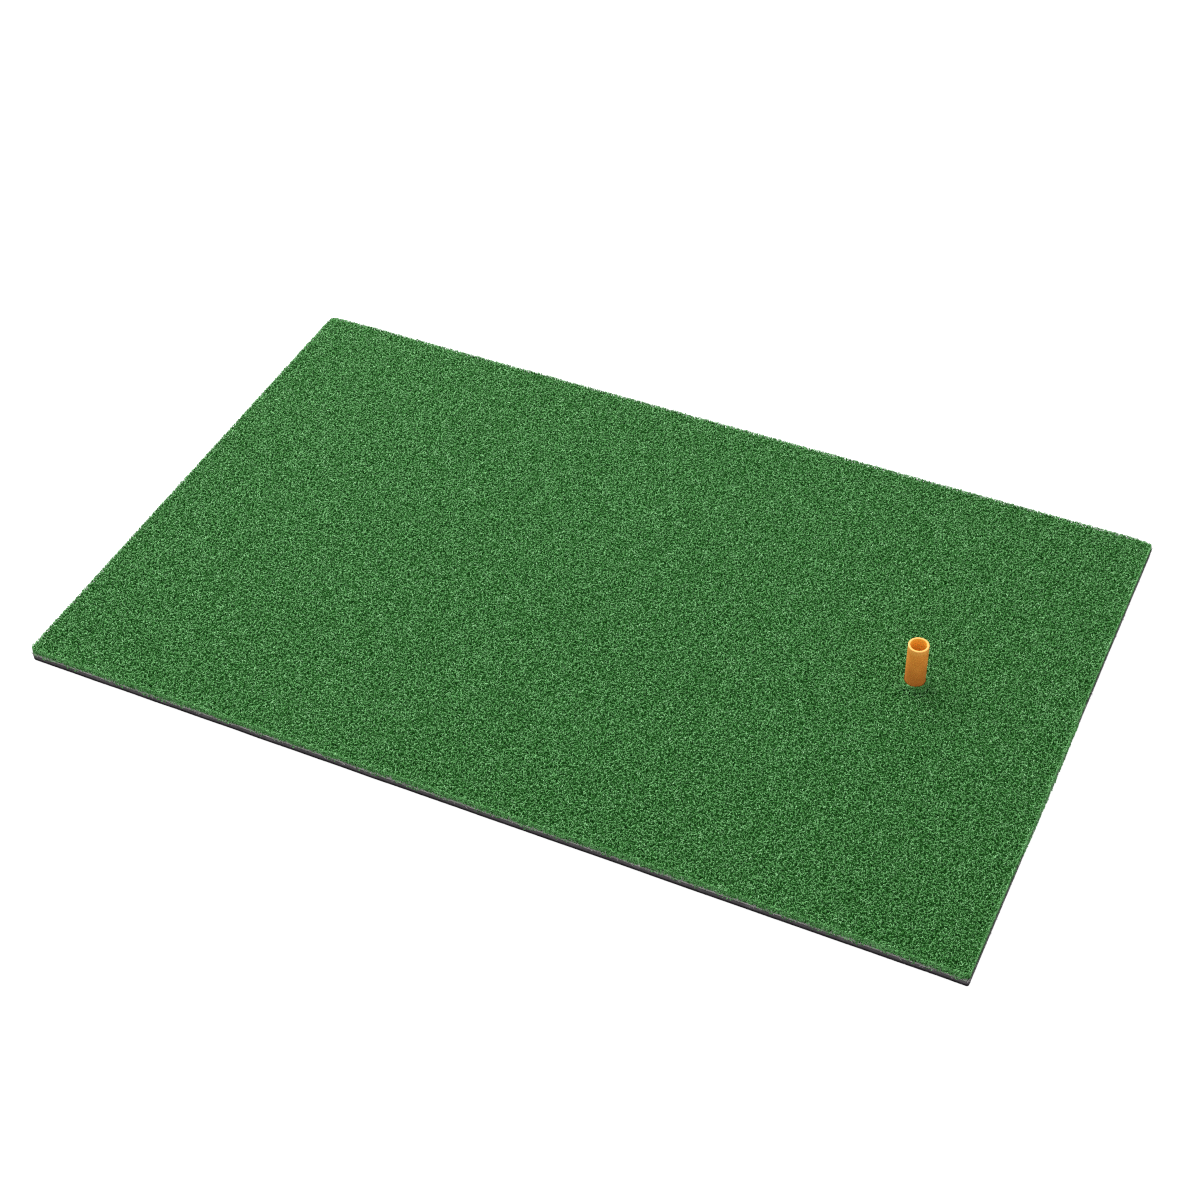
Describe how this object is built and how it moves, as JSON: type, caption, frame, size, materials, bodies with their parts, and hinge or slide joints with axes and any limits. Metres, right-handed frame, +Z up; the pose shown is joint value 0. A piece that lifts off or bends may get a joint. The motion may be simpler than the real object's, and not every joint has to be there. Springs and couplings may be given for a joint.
{
  "type": "golf hitting mat",
  "caption": "Flat rectangular golf practice mat: curled green turf on a dark foam slab, with a hollow rubber tee standing through a hole near one end.",
  "frame": {"origin": "centre of the underside, on the surface the mat lies on", "axes": "+X along the length towards the tee, +Y across the width, +Z up out of the turf"},
  "size_m": [1, 0.615, 0.07],
  "materials": {
    "foam": "matte",
    "bond": "satin",
    "latex": "matte",
    "backing": "matte",
    "pile": "matte",
    "tee_rubber": "satin"
  },
  "bodies": {
    "mat": {"foam_base": "foam", "bond_layer": "bond", "latex_coat": "latex", "primary_backing": "backing", "turf_pile": "pile"},
    "tee_base": {"tee_foot": "tee_rubber", "tee_neck": "tee_rubber"},
    "tee_top": {"tee_tube": "tee_rubber"}
  },
  "joints": [
    {"name": "tee_pull_out", "type": "slide", "parent": "mat", "child": "tee_base", "axis": [0, 0, 1], "range_m": [-0.075, 0]},
    {"name": "tee_flex", "type": "hinge", "parent": "tee_base", "child": "tee_top", "pos_m": [0.338, 0.011, 0.02], "axis": [0, 1, 0], "range_deg": [-60, 60], "stiffness_Nm_per_rad": 0.4, "deforming": ["tee_neck"]}
  ]
}
